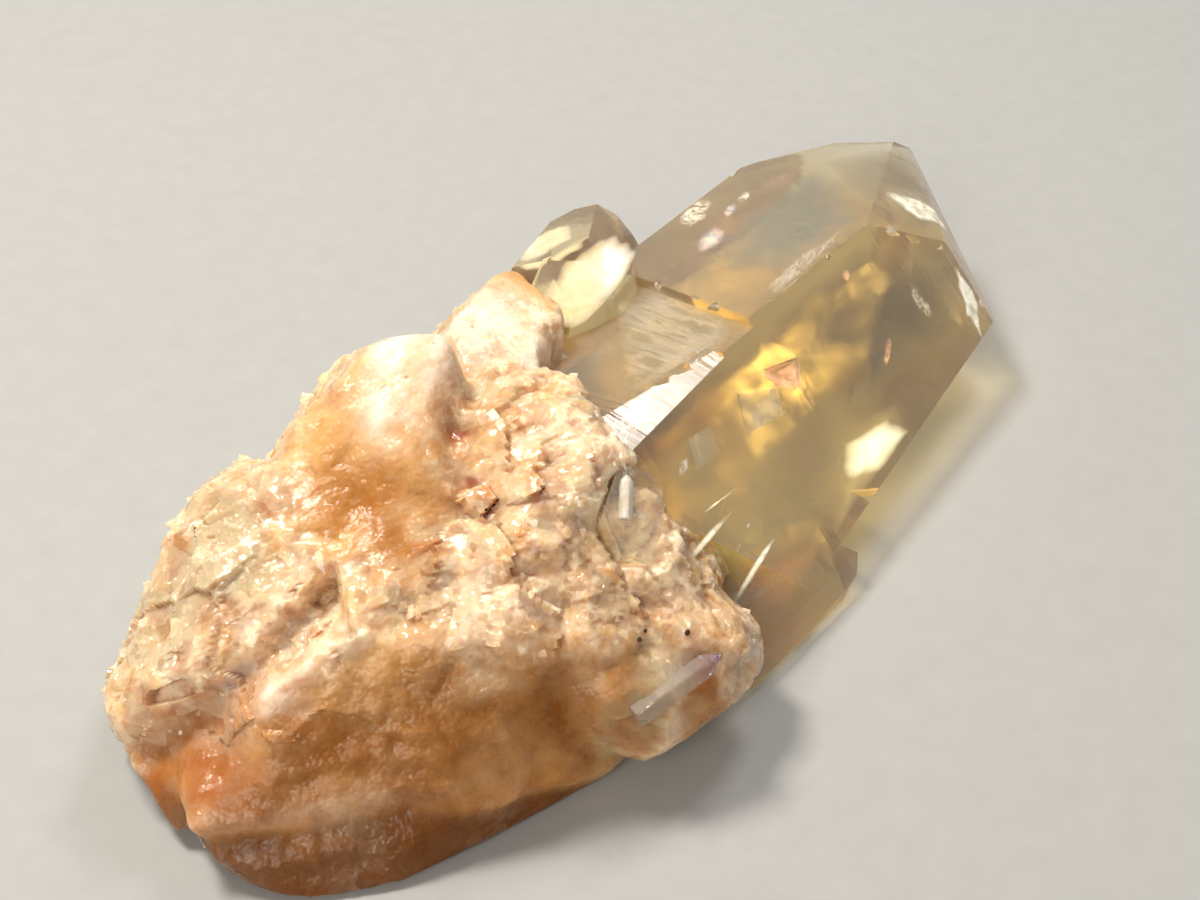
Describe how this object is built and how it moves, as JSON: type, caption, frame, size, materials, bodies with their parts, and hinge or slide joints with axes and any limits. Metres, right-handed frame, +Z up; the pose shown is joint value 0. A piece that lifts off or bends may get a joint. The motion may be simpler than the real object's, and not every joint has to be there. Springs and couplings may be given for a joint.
{
  "type": "citrine crystal on milky quartz",
  "caption": "Clear golden quartz crystal point with parallel side crystals, growing out of a lumpy root of iron-stained milky quartz, lying on a flat underside.",
  "frame": {"origin": "bottom centre of the whole piece's bounding box, on the table", "axes": "+X along the long axis from the root towards the crystal tip, +Z up from the flat underside, +Y to the rear of the pictured side"},
  "size_m": [0.0868, 0.0465, 0.0247],
  "materials": {
    "milky_quartz_root": "milky white to tan, stained orange-brown by iron, sugary to waxy",
    "citrine_crystal": "clear pale olive gold, glassy, fine cross lines on the prism faces"
  },
  "bodies": {
    "root": {"milky_quartz_root": "milky_quartz_root", "citrine_crystal": "citrine_crystal"}
  },
  "joints": []
}
